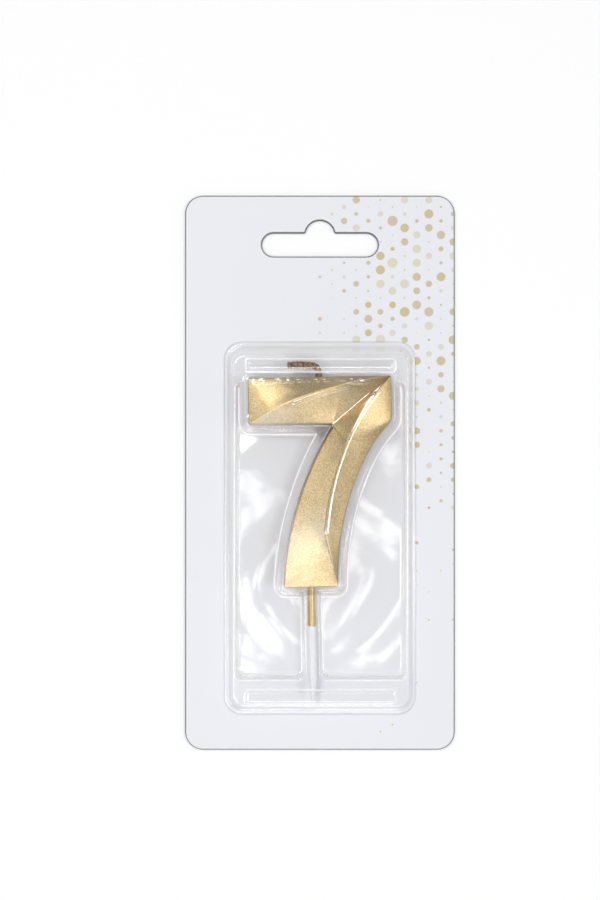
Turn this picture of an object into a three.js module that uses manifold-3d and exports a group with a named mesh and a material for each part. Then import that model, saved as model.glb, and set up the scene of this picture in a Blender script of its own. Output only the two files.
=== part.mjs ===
// A number candle in its hanging pack: a faceted wax 7 with a cotton wick and a plastic cake pick,
// closed in between a back card and a front card by a clear formed blister.
//
// Millimetres. The pack lies on its back card: +Z leaves the front of the pack, +Y points to the
// hanging slot, and the origin is the middle of the back card's back face.

import * as THREE from "three";
import { mergeVertices } from "three/addons/utils/BufferGeometryUtils.js";
import Module from "manifold-3d";

const wasm = await Module();
wasm.setup();

// Cards
const CARD_WIDTH = 74.5;
const CARD_HEIGHT = 153;
const CARD_CORNER = 5;
const BACK_BOARD = 0.5;
const FRONT_BOARD = 0.6;

// Hanging slot, with the round hump that centres the pack on a hook
const SLOT_WIDTH = 32;
const SLOT_HEIGHT = 6.4;
const SLOT_BELOW_TOP = 13.6;
const HUMP_RADIUS = 4;
const HUMP_RISE = 3.5;

// Blister: one sheet of film with a flange, a drafted outer wall, a flat top and two sunken wells
const FILM = 0.25;
const DOME_WIDTH = 52.2;
const DOME_HEIGHT = 102.2;
const DOME_CENTRE_Y = -15.3;
const DOME_CORNER = 4.6;
const SIDE_LEAN = 2.7;
const END_LEAN = 4.2;
const FLANGE_WIDTH = 6;
const FLANGE_GAP = 0.2;
const WINDOW_GAP = 0.2;
const WELL_INSET = 3.4;
const WELL_TOP_INSET = 11.4;
const WELL_FOOT_INSET = 11.6;
const WELL_DEPTH = 5.8;
const WELL_LEAN = 0.5;
const POCKET_LEAN = 1.85;
const CHANNEL_GAP = 0.9;
const CHANNEL_LEAN = 0.6;
const BROW_TALL = 9.4;
const BROW_DROP = 0.6;
const RIB_WIDTH = 40;
const RIB_TALL = 3.4;
const RIB_RISE = 0.7;
const RIB_LEAN = 0.4;
const RIB_CORNER = 0.8;
const RIB_INSET = 2.7;

// Wax numeral, in its own frame: the middle of its foot is the origin and its back face is z = 0
const NUMERAL_HEIGHT = 57.4;
const BAR_LEFT = -16.3;
const BAR_RIGHT = 23;
const BAR_DEPTH = 13.1;
const NECK_DEPTH = 13.5;
const SHOULDER_DEPTH = 12.7;
const INNER_CORNER_X = 6.6;
const FOOT_LEFT = -7.6;
const FOOT_RIGHT = 7.6;
const EDGE_THICKNESS = 8;
const RIDGE_RISE = 3.2;
const SIDE_DRAFT = 0.35;
const POCKET_GAP = 0.35;
const FILM_CLEARANCE = 0.3;

// Where the numeral's foot stands on the card, and how far the whole candle leans in its pack
const CANDLE_X = -2.5;
const CANDLE_Y = -31.1;
const CANDLE_TURN = THREE.MathUtils.degToRad(1.1);
const REST_GAP = 0.2;

// Wick and pick, both in the middle of the wax edge's thickness
const CORE_Z = EDGE_THICKNESS / 2;
const WICK_RADIUS = 0.9;
const WICK_X = 3.2;
const WICK_BURIED = 9;
const WICK_LIFT = 3.3;
const WICK_REACH = 8.2;
const PICK_RADIUS = 1.2;
const PICK_NECK = 1;
const PICK_LENGTH = 31.3;
const PICK_POINT = 6;
const PICK_TIP = 0.5;
const PICK_BURIED = 12;
const ANCHOR_RADIUS = 1.9;
const ANCHOR_HEIGHT = 2;
const CAST_GAP = 0.2;

// Facets along each stretch of an outline or curve
const CORNER_FACETS = 6;
const ROUND_SIDES = 20;
const WICK_SIDES = 10;
const WICK_STEPS = 26;

// Worked out from the sizes above
const SEAL_Z = BACK_BOARD;
const CARD_FRONT_Z = BACK_BOARD + FRONT_BOARD;
const CANDLE_Z = SEAL_Z + REST_GAP;
const NUMERAL_THICKNESS = EDGE_THICKNESS + RIDGE_RISE;
const DOME_TOP_Z = CANDLE_Z + NUMERAL_THICKNESS + FILM_CLEARANCE + FILM;
const DOME_TOP_Y = DOME_CENTRE_Y + DOME_HEIGHT / 2;
const DOME_FOOT_Y = DOME_CENTRE_Y - DOME_HEIGHT / 2;
const BAR_FOOT_Y = NUMERAL_HEIGHT - BAR_DEPTH;
const NECK_Y = NUMERAL_HEIGHT - NECK_DEPTH;
const SHOULDER_Y = NUMERAL_HEIGHT - SHOULDER_DEPTH;
const CUT = 1; // how far a cutting solid runs past the face it cuts

// A place on the numeral's face, as shares of its width from the left and of its height from the foot.
const place = (across, up) => [THREE.MathUtils.lerp(BAR_LEFT, BAR_RIGHT, across), NUMERAL_HEIGHT * up];

// The handles of the numeral's two curved sides
const STEM_LEFT_CURVE = [place(0.382, 0.57), place(0.237, 0.256)];
const STEM_RIGHT_CURVE = [place(0.6, 0.26), place(0.728, 0.601)];

// The handles of the two ridges of the faceted front. One runs across the bar. The other runs down the
// stem to a turning point, and from there straight to the foot's right corner.
const BAR_RIDGE_CURVE = [place(0.316, 0.908), place(0.649, 0.97)];
const STEM_RIDGE_CURVE = [place(0.654, 0.77), place(0.545, 0.479)];
const STEM_RIDGE_TURN = place(0.517, 0.272);

// How many facets each stretch of the numeral's outline has. The stretches that face one ridge from its
// two sides have the same number, so that they meet along it. The last ones of the stem's ridge are the
// straight ones after its turning point.
const UNDERSIDE_FACETS = 16;
const VALLEY_FACETS = 8;
const STEM_LEFT_FACETS = 12;
const FOOT_FACETS = 4;
const STEM_RIGHT_FACETS = 16;
const SHOULDER_FACETS = 8;
const TOP_FACETS = 20;
const END_FACETS = 4;
const AFTER_TURN_FACETS = 5;

// Solids and meshes

// A manifold solid from any closed three.js geometry.
function solidOf(geometry) {
  const bare = geometry.index ? geometry.toNonIndexed() : geometry.clone();
  bare.deleteAttribute("normal");
  bare.deleteAttribute("uv");
  const merged = mergeVertices(bare, 1e-4);
  const mesh = new wasm.Mesh({
    numProp: 3,
    vertProperties: new Float32Array(merged.attributes.position.array),
    triVerts: new Uint32Array(merged.index.array),
  });
  return new wasm.Manifold(mesh);
}

// A named three.js mesh from a manifold solid.
function meshOf(name, solid, material) {
  const { vertProperties, triVerts } = solid.getMesh();
  const geometry = new THREE.BufferGeometry();
  geometry.setAttribute("position", new THREE.BufferAttribute(new Float32Array(vertProperties), 3));
  geometry.setIndex(new THREE.BufferAttribute(new Uint32Array(triVerts), 1));
  geometry.computeVertexNormals();
  const mesh = new THREE.Mesh(geometry, material);
  mesh.name = name;
  return mesh;
}

// A geometry from points and triangles, each triangle three indices into points.
function geometryOf(points, triangles) {
  const geometry = new THREE.BufferGeometry().setFromPoints(points);
  geometry.setIndex(triangles.flat());
  return geometry;
}

// The solid between anticlockwise rings of equally many points, each ring flat at its own height.
function loft(rings) {
  const count = rings[0].points.length;
  const points = rings.flatMap(({ points: ring, z }) => ring.map((p) => new THREE.Vector3(p.x, p.y, z)));
  const triangles = [];
  for (let level = 0; level < rings.length - 1; level++) {
    for (let i = 0; i < count; i++) {
      const a = level * count + i;
      const b = level * count + ((i + 1) % count);
      triangles.push([a, b, b + count], [a, b + count, a + count]);
    }
  }
  const last = (rings.length - 1) * count;
  for (const [a, b, c] of THREE.ShapeUtils.triangulateShape(rings[0].points, [])) triangles.push([a, c, b]);
  for (const [a, b, c] of THREE.ShapeUtils.triangulateShape(rings.at(-1).points, [])) {
    triangles.push([last + a, last + b, last + c]);
  }
  return solidOf(geometryOf(points, triangles));
}

// A prism from a three.js shape, between two heights.
function prism(shape, low, high) {
  const geometry = new THREE.ExtrudeGeometry(shape, {
    depth: high - low,
    bevelEnabled: false,
    curveSegments: 2 * CORNER_FACETS,
  });
  return solidOf(geometry.translate(0, 0, low));
}

// Outlines

// A rectangle with round corners, as the four limits left, right, foot and top.
function roundedRectangle({ left, right, foot, top }, radius) {
  const shape = new THREE.Shape();
  const turn = Math.PI / 2;
  shape.absarc(right - radius, foot + radius, radius, -turn, 0);
  shape.absarc(right - radius, top - radius, radius, 0, turn);
  shape.absarc(left + radius, top - radius, radius, turn, 2 * turn);
  shape.absarc(left + radius, foot + radius, radius, 2 * turn, 3 * turn);
  shape.closePath();
  return shape;
}

// The same rectangle's points as an open ring, for a loft.
function rectangleRing(limits, radius) {
  const points = roundedRectangle(limits, radius).getPoints(CORNER_FACETS);
  points.pop();
  return points;
}

// Moves the four limits of a rectangle out by a distance.
function grown({ left, right, foot, top }, distance) {
  return { left: left - distance, right: right + distance, foot: foot - distance, top: top + distance };
}

// Moves each side of an anticlockwise outline out by a distance, then rounds the corners. A corner is
// [x, y, radius]; a point along a curve is [x, y]. An outer corner's radius grows with the distance.
function outline(corners, distance) {
  const at = (list, i) => list[(i + list.length) % list.length];
  const direction = (from, to) => new THREE.Vector2(to.x - from.x, to.y - from.y).normalize();
  const outward = (d) => new THREE.Vector2(d.y, -d.x);
  const placed = corners.map(([x, y]) => new THREE.Vector2(x, y));
  const moved = placed.map((point, i) => {
    const before = outward(direction(at(placed, i - 1), point));
    const after = outward(direction(point, at(placed, i + 1)));
    const shift = before.clone().add(after).multiplyScalar(distance / (1 + before.dot(after)));
    return point.clone().add(shift);
  });
  return moved.flatMap((point, i) => {
    const ownRadius = corners[i][2];
    if (!ownRadius) return [point];
    const before = direction(at(moved, i - 1), point);
    const after = direction(point, at(moved, i + 1));
    const turn = Math.atan2(before.cross(after), before.dot(after));
    const radius = turn > 0 ? ownRadius + distance : ownRadius;
    const start = point.clone().addScaledVector(before, -radius * Math.tan(Math.abs(turn) / 2));
    const spoke = outward(before).multiplyScalar(Math.sign(turn) * radius);
    const centre = start.clone().sub(spoke);
    return Array.from({ length: CORNER_FACETS + 1 }, (_, k) =>
      spoke.clone().rotateAround(new THREE.Vector2(), (turn * k) / CORNER_FACETS).add(centre),
    );
  });
}

// Points along a straight side or a cubic curve, with the start and without the end.
function straight(from, to, steps) {
  return Array.from({ length: steps }, (_, i) => [
    THREE.MathUtils.lerp(from[0], to[0], i / steps),
    THREE.MathUtils.lerp(from[1], to[1], i / steps),
  ]);
}

function cubic(from, [near, far], to, steps) {
  const curve = new THREE.CubicBezierCurve(
    ...[from, near, far, to].map(([x, y]) => new THREE.Vector2(x, y)),
  );
  return Array.from({ length: steps }, (_, i) => curve.getPoint(i / steps).toArray());
}

// The numeral's corners, by name
const CORNER = {
  barFoot: [BAR_LEFT, BAR_FOOT_Y],
  inner: [INNER_CORNER_X, NECK_Y],
  footLeft: [FOOT_LEFT, 0],
  footRight: [FOOT_RIGHT, 0],
  shoulder: [BAR_RIGHT, SHOULDER_Y],
  topRight: [BAR_RIGHT, NUMERAL_HEIGHT],
  topLeft: [BAR_LEFT, NUMERAL_HEIGHT],
};

// The numeral's outline with a station at every step, anticlockwise from the bar's lower left corner.
function numeralStations() {
  const { barFoot, inner, footLeft, footRight, shoulder, topRight, topLeft } = CORNER;
  return [
    ...straight(barFoot, inner, UNDERSIDE_FACETS),
    ...cubic(inner, STEM_LEFT_CURVE, footLeft, STEM_LEFT_FACETS),
    ...straight(footLeft, footRight, FOOT_FACETS),
    ...cubic(footRight, STEM_RIGHT_CURVE, shoulder, STEM_RIGHT_FACETS),
    ...straight(shoulder, topRight, SHOULDER_FACETS),
    ...straight(topRight, topLeft, TOP_FACETS),
    ...straight(topLeft, barFoot, END_FACETS),
  ];
}

// The ring of the blister's pocket round the numeral, moved into the candle's place on the card. The
// stations next to a corner are left out, because the corner's rounding takes their room.
function pocketRing(distance) {
  const { barFoot, inner, footLeft, footRight, shoulder, topRight, topLeft } = CORNER;
  const round = 0.9;
  const corners = [
    [...barFoot, round],
    [...inner, round],
    ...cubic(inner, STEM_LEFT_CURVE, footLeft, STEM_LEFT_FACETS).slice(2, -1),
    [...footLeft, round],
    [...footRight, round],
    ...cubic(footRight, STEM_RIGHT_CURVE, shoulder, STEM_RIGHT_FACETS).slice(2, -1),
    [...shoulder, round],
    [...topRight, round],
    [...topLeft, round],
  ];
  return outline(corners, distance).map(onCard);
}

// The ring of the blister's channel round the pick, from inside the pocket to past the wells' foot.
function channelRing(distance) {
  const side = PICK_RADIUS + distance;
  const limits = { left: -side, right: side, foot: -PICK_LENGTH - CUT, top: CUT };
  return rectangleRing(limits, RIB_CORNER).map(onCard);
}

// Moves a point from the candle's own frame to its place on the card.
function onCard(point) {
  return point.clone().rotateAround(new THREE.Vector2(), CANDLE_TURN).add(new THREE.Vector2(CANDLE_X, CANDLE_Y));
}

// The cards

const cardLimits = {
  left: -CARD_WIDTH / 2,
  right: CARD_WIDTH / 2,
  foot: -CARD_HEIGHT / 2,
  top: CARD_HEIGHT / 2,
};

const domeLimits = {
  left: -DOME_WIDTH / 2,
  right: DOME_WIDTH / 2,
  foot: DOME_FOOT_Y,
  top: DOME_TOP_Y,
};

function hangingSlot() {
  const end = SLOT_HEIGHT / 2;
  const endX = SLOT_WIDTH / 2 - end;
  const middleY = CARD_HEIGHT / 2 - SLOT_BELOW_TOP;
  const humpY = middleY + end + HUMP_RISE - HUMP_RADIUS;
  const humpStart = Math.asin((HUMP_RADIUS - HUMP_RISE) / HUMP_RADIUS);
  const slot = new THREE.Path();
  slot.absarc(endX, middleY, end, -Math.PI / 2, Math.PI / 2);
  slot.absarc(0, humpY, HUMP_RADIUS, humpStart, Math.PI - humpStart);
  slot.absarc(-endX, middleY, end, Math.PI / 2, (3 * Math.PI) / 2);
  slot.closePath();
  return slot;
}

function cardShape() {
  const shape = roundedRectangle(cardLimits, CARD_CORNER);
  shape.holes.push(hangingSlot());
  return shape;
}

function backCard(material) {
  return meshOf("back_card", prism(cardShape(), 0, BACK_BOARD), material);
}

// The front card has the window that the dome stands through, and its back is pressed in all round
// that window to take the blister's flange.
function frontCard(material) {
  const window = grown(domeLimits, WINDOW_GAP);
  const recess = grown(domeLimits, FLANGE_WIDTH + FLANGE_GAP);
  const shape = cardShape();
  shape.holes.push(roundedRectangle(window, DOME_CORNER + WINDOW_GAP));
  const recessRadius = DOME_CORNER + FLANGE_WIDTH + FLANGE_GAP;
  const pressedIn = prism(roundedRectangle(recess, recessRadius), SEAL_Z - CUT, SEAL_Z + FILM + FLANGE_GAP / 2);
  const card = prism(shape, SEAL_Z, CARD_FRONT_Z).subtract(pressedIn);
  return meshOf("front_card", card, material);
}

// The blister

// One face of the film as a solid block: the outer face at inset 0, the inner face at inset FILM.
function domeBlock(inset) {
  const base = grown(domeLimits, -inset);
  const top = {
    left: base.left + SIDE_LEAN,
    right: base.right - SIDE_LEAN,
    foot: base.foot + END_LEAN,
    top: base.top - END_LEAN,
  };
  const baseRadius = DOME_CORNER - inset;
  const topRadius = baseRadius - SIDE_LEAN / 2;
  const dome = loft([
    { points: rectangleRing(base, baseRadius), z: SEAL_Z },
    { points: rectangleRing(top, topRadius), z: DOME_TOP_Z - inset },
  ]);
  return dome
    .subtract(browCut(inset))
    .subtract(wellBlock(inset))
    .add(ribBlock(inset, DOME_TOP_Y - END_LEAN - RIB_INSET, BROW_DROP))
    .add(ribBlock(inset, DOME_FOOT_Y + END_LEAN + RIB_INSET, 0));
}

// What is cut off the dome's top end, where the film runs a step lower than over the numeral.
function browCut(inset) {
  const limits = {
    left: 2 * domeLimits.left,
    right: 2 * domeLimits.right,
    foot: DOME_TOP_Y - BROW_TALL - inset,
    top: 2 * DOME_TOP_Y,
  };
  const topZ = DOME_TOP_Z - inset;
  return prism(roundedRectangle(limits, RIB_CORNER), topZ - BROW_DROP, topZ + CUT);
}

// A low stiffening rib across the top face, centred at y, where that face lies lower by a drop.
function ribBlock(inset, y, drop) {
  const base = grown(
    { left: -RIB_WIDTH / 2, right: RIB_WIDTH / 2, foot: y - RIB_TALL / 2, top: y + RIB_TALL / 2 },
    -inset,
  );
  const topZ = DOME_TOP_Z - drop - inset;
  return loft([
    { points: rectangleRing(base, RIB_CORNER - inset), z: topZ - CUT },
    { points: rectangleRing(base, RIB_CORNER - inset), z: topZ },
    { points: rectangleRing(grown(base, -RIB_LEAN), RIB_CORNER - inset), z: topZ + RIB_RISE },
  ]);
}

// The two wells left and right of the candle: a sunken field, less the pocket and channel that stand
// up through it. Their walls lean, so that each is wider at its mouth than at its floor.
function wellBlock(inset) {
  const mouth = grown(
    {
      left: domeLimits.left + WELL_INSET,
      right: domeLimits.right - WELL_INSET,
      foot: domeLimits.foot + WELL_FOOT_INSET,
      top: domeLimits.top - WELL_TOP_INSET,
    },
    inset,
  );
  const mouthZ = DOME_TOP_Z - inset;
  const share = (z) => (mouthZ - z) / WELL_DEPTH;
  const walls = (ringAt, bottom) => loft([bottom, mouthZ + CUT].map((z) => ({ points: ringAt(share(z)), z })));
  const floorZ = mouthZ - WELL_DEPTH;
  const field = walls((s) => rectangleRing(grown(mouth, -WELL_LEAN * s), RIB_CORNER), floorZ);
  const pocket = walls((s) => pocketRing(POCKET_GAP - inset + POCKET_LEAN * s), floorZ - CUT);
  const channel = walls((s) => channelRing(CHANNEL_GAP - inset + CHANNEL_LEAN * s), floorZ - CUT);
  return field.subtract(pocket).subtract(channel);
}

function blister(material) {
  const flange = prism(
    roundedRectangle(grown(domeLimits, FLANGE_WIDTH), DOME_CORNER + FLANGE_WIDTH),
    SEAL_Z,
    SEAL_Z + FILM,
  );
  const innerBase = rectangleRing(grown(domeLimits, -FILM), DOME_CORNER - FILM);
  const throat = loft([
    { points: innerBase, z: SEAL_Z - CUT },
    { points: innerBase, z: SEAL_Z },
  ]);
  const film = domeBlock(0).add(flange).subtract(domeBlock(FILM).add(throat));
  return meshOf("blister", film, material);
}

// The candle

// The wax numeral's faceted front is four ruled fields. Each runs from a stretch of the front edge to
// one of two ridges, and a valley joins the inner corner to the top right corner between them.
function numeralBlank() {
  const stations = numeralStations();
  const total = stations.length;
  const back = stations.map(([x, y]) => new THREE.Vector3(x, y, 0));
  const front = outline(stations, -SIDE_DRAFT).map((p) => new THREE.Vector3(p.x, p.y, EDGE_THICKNESS));
  const innerAt = UNDERSIDE_FACETS;
  const footAt = innerAt + STEM_LEFT_FACETS + FOOT_FACETS;
  const topRightAt = footAt + STEM_RIGHT_FACETS + SHOULDER_FACETS;

  const valley = Array.from({ length: VALLEY_FACETS + 1 }, (_, i) =>
    front[innerAt].clone().lerp(front[topRightAt], i / VALLEY_FACETS),
  );
  const [barFoot, topRight, footRight] = [0, topRightAt, footAt].map((i) => front[i].toArray());
  const stemSteps = topRightAt - footAt - AFTER_TURN_FACETS;
  const barRidge = ridge(cubic(barFoot, BAR_RIDGE_CURVE, topRight, total - topRightAt), topRight);
  const stemRidge = ridge(
    [
      ...cubic(topRight, STEM_RIDGE_CURVE, STEM_RIDGE_TURN, stemSteps),
      ...straight(STEM_RIDGE_TURN, footRight, AFTER_TURN_FACETS),
    ],
    footRight,
  );

  const points = [];
  const triangles = [];
  const quads = (near, far, flip) => {
    const start = points.length;
    const count = near.length;
    points.push(...near, ...far);
    for (let i = 0; i < count - 1; i++) {
      const [a, b, c, d] = [start + i, start + i + 1, start + count + i + 1, start + count + i];
      if (flip) triangles.push([a, c, b], [a, d, c]);
      else triangles.push([a, b, c], [a, c, d]);
    }
  };
  quads([...front.slice(0, innerAt), ...valley], barRidge, false);
  quads([...front.slice(topRightAt), front[0]].reverse(), barRidge, true);
  quads([...valley.slice().reverse(), ...front.slice(innerAt + 1, footAt + 1)], stemRidge, false);
  quads(front.slice(footAt, topRightAt + 1).reverse(), stemRidge, true);
  quads([...back, back[0]], [...front, front[0]], false);

  const start = points.length;
  points.push(...back);
  const flat = stations.map(([x, y]) => new THREE.Vector2(x, y));
  for (const [a, b, c] of THREE.ShapeUtils.triangulateShape(flat, [])) {
    triangles.push([start + a, start + c, start + b]);
  }
  return solidOf(geometryOf(points, withoutSlivers(points, triangles)));
}

// A ridge along flat points and on to an end. It rises from the front edge soon after its first corner
// and comes back down to it soon before its last, with a level stretch between.
function ridge(flat, end) {
  return [...flat, end].map(([x, y], i) => {
    const share = (2 * i) / flat.length - 1;
    return new THREE.Vector3(x, y, EDGE_THICKNESS + RIDGE_RISE * (1 - share ** 4));
  });
}

// Leaves out the triangles that have two corners in one place, where a ridge runs into a corner.
function withoutSlivers(points, triangles) {
  const same = (a, b) => points[a].distanceTo(points[b]) < 1e-6;
  return triangles.filter(([a, b, c]) => !same(a, b) && !same(b, c) && !same(c, a));
}

// The pick's profile as [radius, y] from its tip to its top, with an anchor collar cast into the wax.
function pickProfile(gap) {
  const collarFoot = PICK_BURIED - 2 * ANCHOR_HEIGHT;
  return [
    [0, -PICK_LENGTH - gap],
    [PICK_TIP + gap, -PICK_LENGTH + PICK_TIP - gap],
    [PICK_RADIUS + gap, -PICK_LENGTH + PICK_POINT],
    [PICK_RADIUS + gap, -PICK_LENGTH / 3],
    [PICK_NECK + gap, 0],
    [PICK_NECK + gap, collarFoot - gap],
    [ANCHOR_RADIUS + gap, collarFoot + ANCHOR_HEIGHT / 2 - gap],
    [ANCHOR_RADIUS + gap, collarFoot + ANCHOR_HEIGHT + gap],
    [PICK_NECK + gap, collarFoot + ANCHOR_HEIGHT + gap],
    [PICK_NECK + gap, PICK_BURIED + gap],
    [0, PICK_BURIED + gap],
  ].map(([radius, y]) => new THREE.Vector2(radius, y));
}

function pickSolid(gap) {
  return solidOf(new THREE.LatheGeometry(pickProfile(gap), ROUND_SIDES).translate(0, 0, CORE_Z));
}

// The wick's centre line: up out of the wax, then over to the left in a flat curl.
function wickLine() {
  const exit = NUMERAL_HEIGHT;
  return new THREE.CatmullRomCurve3(
    [
      [0, -WICK_BURIED, 0],
      [0, -WICK_BURIED / 2, 0],
      [0, 0, 0],
      [0, 0.36 * WICK_LIFT, 0],
      [-0.03 * WICK_REACH, 0.62 * WICK_LIFT, 0],
      [-0.13 * WICK_REACH, 0.84 * WICK_LIFT, 0.1],
      [-0.29 * WICK_REACH, 0.96 * WICK_LIFT, 0.2],
      [-0.55 * WICK_REACH, WICK_LIFT, 0.4],
      [-0.78 * WICK_REACH, 0.99 * WICK_LIFT, 0.5],
      [-WICK_REACH, 0.96 * WICK_LIFT, 0.5],
    ].map(([x, y, z]) => new THREE.Vector3(WICK_X + x, exit + y, CORE_Z + z)),
  );
}

function wick(material) {
  const section = new THREE.Shape().absarc(0, 0, WICK_RADIUS, 0, 2 * Math.PI);
  const geometry = new THREE.ExtrudeGeometry(section, {
    steps: WICK_STEPS,
    curveSegments: WICK_SIDES,
    extrudePath: wickLine(),
  });
  return meshOf("wick", solidOf(geometry), material);
}

function wickHole() {
  const depth = WICK_BURIED + CAST_GAP + CUT;
  const radius = WICK_RADIUS + CAST_GAP;
  const hole = new THREE.CylinderGeometry(radius, radius, depth, ROUND_SIDES);
  return solidOf(hole.translate(WICK_X, NUMERAL_HEIGHT + CUT - depth / 2, CORE_Z));
}

function numeral(material) {
  const wax = numeralBlank().subtract(pickSolid(CAST_GAP)).subtract(wickHole());
  return meshOf("numeral", wax, material);
}

// Materials and assembly

const whiteBoard = new THREE.MeshStandardMaterial({ color: 0xecedf2, roughness: 0.55 });
const clearFilm = new THREE.MeshStandardMaterial({
  color: 0xf2f4f6,
  roughness: 0.08,
  transparent: true,
  opacity: 0.25,
});
const goldLacquer = new THREE.MeshStandardMaterial({ color: 0xc9ad74, roughness: 0.38, metalness: 0.9 });
const goldCotton = new THREE.MeshStandardMaterial({ color: 0x9a7c4a, roughness: 0.7, metalness: 0.4 });
const clearPlastic = new THREE.MeshStandardMaterial({
  color: 0xeaedf3,
  roughness: 0.25,
  transparent: true,
  opacity: 0.7,
});

const candle = new THREE.Group();
candle.position.set(CANDLE_X, CANDLE_Y, CANDLE_Z);
candle.rotation.z = CANDLE_TURN;
candle.add(numeral(goldLacquer), wick(goldCotton), meshOf("pick", pickSolid(0), clearPlastic));

const pack = new THREE.Group();
pack.add(backCard(whiteBoard), frontCard(whiteBoard), blister(clearFilm), candle);

export default pack;
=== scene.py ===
# %% [markdown]
# # A number candle in its hanging pack
# A gold wax 7 lies in a pocket of clear formed film, and the film's flange is glued between two white
# boards. The solids come from the frame in metres. Every piece made here is worked out in
# millimetres, because that is how such a pack is drawn, and turned to metres once, as it becomes a mesh.

import math

import bmesh
import bpy
import numpy as np
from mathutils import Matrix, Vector
from mathutils.geometry import tessellate_polygon


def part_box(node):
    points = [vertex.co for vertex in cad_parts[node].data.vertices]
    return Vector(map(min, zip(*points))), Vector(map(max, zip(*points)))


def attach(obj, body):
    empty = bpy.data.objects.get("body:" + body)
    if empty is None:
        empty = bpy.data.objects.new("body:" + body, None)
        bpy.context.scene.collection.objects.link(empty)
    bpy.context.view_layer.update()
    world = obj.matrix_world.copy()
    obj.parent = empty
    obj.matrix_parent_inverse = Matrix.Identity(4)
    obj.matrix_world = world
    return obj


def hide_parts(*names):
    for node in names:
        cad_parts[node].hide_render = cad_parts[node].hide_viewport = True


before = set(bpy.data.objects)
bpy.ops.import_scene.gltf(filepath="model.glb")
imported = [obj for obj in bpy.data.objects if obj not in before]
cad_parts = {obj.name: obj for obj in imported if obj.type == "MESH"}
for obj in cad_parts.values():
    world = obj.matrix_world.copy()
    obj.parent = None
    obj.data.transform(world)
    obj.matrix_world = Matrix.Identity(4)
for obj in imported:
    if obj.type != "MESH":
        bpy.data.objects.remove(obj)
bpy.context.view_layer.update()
MM = 0.001


def box_mm(node):
    """A solid's lowest and highest corner, in millimetres."""
    low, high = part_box(node)
    return np.array(low) / MM, np.array(high) / MM


_, back_high = box_mm("back_card")
front_low, front_high = box_mm("front_card")
film_low, film_high = box_mm("blister")
print("card", front_high[:2] - front_low[:2], "mm, film up to", film_high[2], "mm")

# %% [markdown]
# ## Helpers
# Blender stores a mesh as points and faces. A surface that is a function of two parameters is a grid
# of points, and its faces join each point to its neighbours. Materials are built from nodes, and one
# small function is enough to add any of them.


# %% From arrays to a mesh
def grid_faces(rows, columns, around=False):
    """The quads between neighbours of a grid stored row by row. Around joins the last column to the
    first."""
    across = columns if around else columns - 1
    row, column = np.meshgrid(np.arange(rows - 1), np.arange(across), indexing="ij")
    beside = (column + 1) % columns
    here, above = row * columns, (row + 1) * columns
    corners = [here + column, here + beside, above + beside, above + column]
    return np.stack([corner.ravel() for corner in corners], axis=1)


def joined(parts):
    """One list of points and one of faces from several (points, faces) pairs."""
    points, faces, count = [], [], 0
    for part_points, part_faces in parts:
        points.append(np.asarray(part_points, float))
        faces.extend((np.asarray(part_faces) + count).tolist())
        count += len(part_points)
    return np.concatenate(points), faces


def piece(name, points, faces, body, material, smooth=True, weld=0.0):
    """A mesh from points in millimetres that rides on a body. Weld merges points closer than that."""
    mesh = bpy.data.meshes.new(name)
    mesh.from_pydata((np.asarray(points) * MM).tolist(), [], [list(face) for face in faces])
    if weld:
        work = bmesh.new()
        work.from_mesh(mesh)
        bmesh.ops.remove_doubles(work, verts=work.verts, dist=weld * MM)
        bmesh.ops.dissolve_degenerate(work, edges=work.edges, dist=weld * MM)
        bmesh.ops.recalc_face_normals(work, faces=work.faces)
        work.to_mesh(mesh)
        work.free()
    mesh.polygons.foreach_set("use_smooth", [smooth] * len(mesh.polygons))
    mesh.update()
    made = bpy.data.objects.new(name, mesh)
    bpy.context.scene.collection.objects.link(made)
    mesh.materials.append(material)
    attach(made, body)
    print(name, len(mesh.polygons), "faces")
    return made


# %% From colours and nodes to a material
def linear(code):
    """An sRGB hex colour, such as c9ad74, as the linear colour that Blender's sockets take."""
    channels = [int(code[i : i + 2], 16) / 255 for i in (0, 2, 4)]
    return [c / 12.92 if c <= 0.04045 else ((c + 0.055) / 1.055) ** 2.4 for c in channels] + [1.0]


def new_material(name):
    """A material and its node tree, still empty."""
    material = bpy.data.materials.new(name)
    material.use_nodes = True
    material.node_tree.nodes.clear()
    return material, material.node_tree


def add(tree, kind, inputs=None, **settings):
    """Adds a node with its settings, each input set to a value or linked, and returns its outputs."""
    made = tree.nodes.new("ShaderNode" + kind)
    for name, value in settings.items():
        setattr(made, name, value)
    for name, value in (inputs or {}).items():
        if isinstance(value, bpy.types.NodeSocket):
            tree.links.new(value, made.inputs[name])
        else:
            made.inputs[name].default_value = value
    return made.outputs


def place_mm(tree):
    """Where a point lies on its piece, in millimetres. A pattern's scale is then one over its size."""
    return add(tree, "VectorMath", {0: add(tree, "TexCoord")["Object"], 3: 1 / MM}, operation="SCALE")[0]


# %% [markdown]
# ## Boards
# Each card is die-cut: a steel rule presses down through the board, rounds its front edge over and
# leaves bare grey fibre on the cut. So a board here is its outline carried along a small rounded
# profile, closed by a flat cap at the front and the back, with the cut edge as a finish of its own.
# That finish's grey is partly the fibre's own colour and partly painted shade, for the dark line that
# the steep cut and the rounded rim show from above. Round the window the coat is drawn down with the
# press, so that edge stays white.


# %% Arcs and round-cornered outlines
def arc(centre, radius, start, end, steps=12):
    """Points on a circle from one angle in degrees to another, both ends kept."""
    angle = np.radians(np.linspace(start, end, steps + 1))
    return np.column_stack([centre[0] + radius * np.cos(angle), centre[1] + radius * np.sin(angle)])


def rounded_rectangle(low, high, radius, steps=12):
    """An anticlockwise rectangle whose corners are quarter circles."""
    (left, foot), (right, top) = low[:2], high[:2]
    return np.concatenate([
        arc((right - radius, foot + radius), radius, -90, 0, steps),
        arc((right - radius, top - radius), radius, 0, 90, steps),
        arc((left + radius, top - radius), radius, 90, 180, steps),
        arc((left + radius, foot + radius), radius, 180, 270, steps),
    ])


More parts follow.
